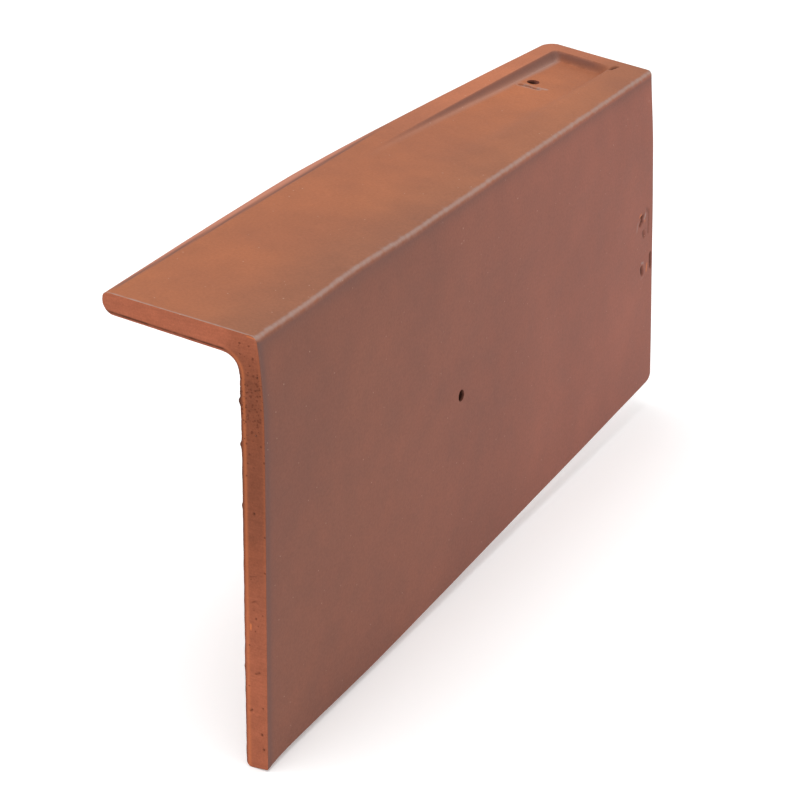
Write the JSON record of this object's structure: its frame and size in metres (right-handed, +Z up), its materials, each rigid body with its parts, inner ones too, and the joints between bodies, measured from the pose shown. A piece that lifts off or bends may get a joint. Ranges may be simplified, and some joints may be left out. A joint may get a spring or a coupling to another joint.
{
  "type": "verge tile",
  "caption": "Unglazed terracotta roof verge tile: an angle with a narrow lapped leg that lies on the roof edge and a deep apron that covers the gable board.",
  "frame": {"origin": "on the leg's underside, at the middle of the patch that lies on the roof", "axes": "+X along the tile from its cut tail to its head, the up-slope end with the lap recess; -Y out of the apron's show face; +Z up, out of the leg's top"},
  "size_m": [0.421, 0.0827, 0.2094],
  "materials": {
    "fired_clay": "unglazed fired clay, matt, with a wire-cut tail face and a worn pale arris"
  },
  "bodies": {
    "root": {"verge_tile": "fired_clay"}
  },
  "joints": []
}
